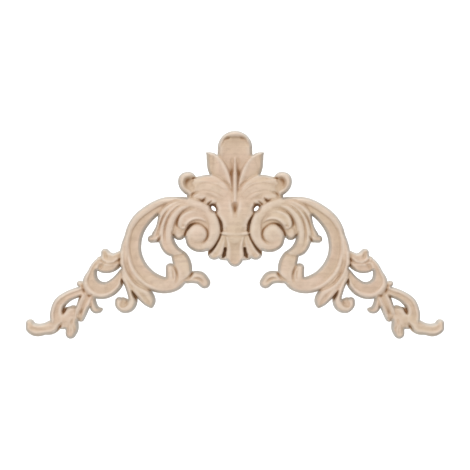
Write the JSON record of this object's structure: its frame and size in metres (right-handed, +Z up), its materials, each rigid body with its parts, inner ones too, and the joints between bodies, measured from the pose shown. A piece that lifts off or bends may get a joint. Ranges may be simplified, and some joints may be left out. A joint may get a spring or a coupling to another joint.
{
  "type": "carved corner onlay",
  "caption": "Carved wooden onlay: an upright palmette between two leafy volute scrolls whose tails droop outward to small curled ends. Flat back for gluing on.",
  "frame": {"origin": "on the flat back, at the middle of the width and of the height", "axes": "+X along the span to the right as seen from the front, +Y out of the back towards the surface it is fixed to, +Z up towards the palmette's top"},
  "size_m": [0.2, 0.0099, 0.0999],
  "materials": {
    "wood": "raw, sanded, unfinished"
  },
  "bodies": {
    "root": {"corner_onlay": "wood"}
  },
  "joints": []
}
